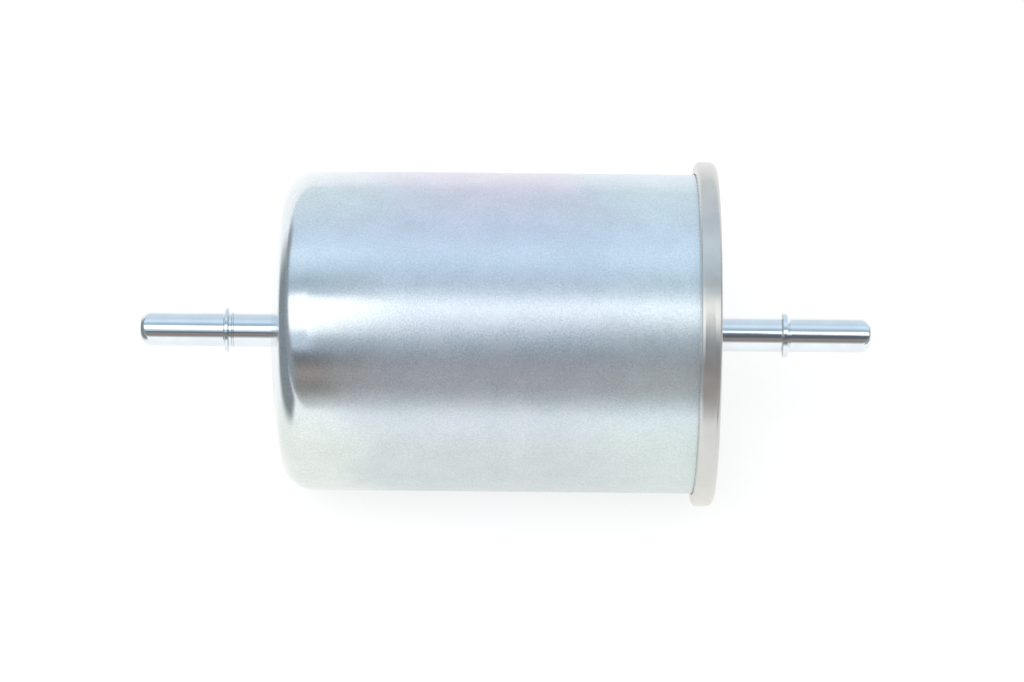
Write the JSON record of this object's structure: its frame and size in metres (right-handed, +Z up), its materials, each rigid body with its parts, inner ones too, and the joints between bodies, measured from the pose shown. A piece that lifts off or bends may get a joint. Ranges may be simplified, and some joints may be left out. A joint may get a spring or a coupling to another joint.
{
  "type": "fuel filter",
  "caption": "In-line fuel filter: a plated steel can with a domed end, a rolled seam at the cover end, and a beaded quick-connect spigot on the axis at each end.",
  "frame": {"origin": "on the filter's axis, midway between the tips of the two spigots, which is the centre of the whole part's box", "axes": "+X along the axis from the domed inlet end to the seamed outlet end; +Z up and +Y away in the main view; the outside is the same all round the axis"},
  "size_m": [0.1694, 0.0798, 0.0798],
  "materials": {
    "can_zinc": "satin pale blue-white zinc plate on drawn steel sheet, faintly iridescent",
    "seam_zinc": "satin zinc plate on pressed steel sheet, a little warmer and greyer than the can",
    "spigot_zinc": "bright, nearly mirror-smooth zinc plate on drawn steel tube",
    "braze_copper": "thin brazing fillet, plated over",
    "tinplate": "plain tinned steel sheet",
    "spring_steel": "oiled spring wire",
    "filter_paper": "resin-treated pleated filter paper",
    "plastisol": "cured adhesive, slightly soft",
    "sealing_rubber": "black fuel-resistant rubber",
    "strainer_mesh": "fine woven strainer cloth"
  },
  "bodies": {
    "housing": {"housing_can": "can_zinc", "cover": "seam_zinc", "seam_gasket": "sealing_rubber", "cover_stiffener": "can_zinc", "inlet_tube": "spigot_zinc", "outlet_tube": "spigot_zinc", "inlet_braze": "braze_copper", "outlet_braze": "braze_copper", "inlet_deflector": "tinplate", "element_spring": "spring_steel", "support_plate": "tinplate"},
    "element": {"spring_guide": "tinplate", "closed_end_cap": "tinplate", "closed_end_adhesive": "plastisol", "pleated_media": "filter_paper", "media_seam_clip": "tinplate", "core_tube": "tinplate", "strainer_sleeve": "strainer_mesh", "open_end_adhesive": "plastisol", "open_end_cap": "tinplate", "outlet_grommet": "sealing_rubber"}
  },
  "joints": [
    {"name": "element_slide", "type": "slide", "parent": "housing", "child": "element", "axis": [-1, 0, 0], "range_m": [0, 0.0025], "stiffness_N_per_m": 2000, "springref_m": -0.003, "deforming": ["element_spring"]}
  ]
}
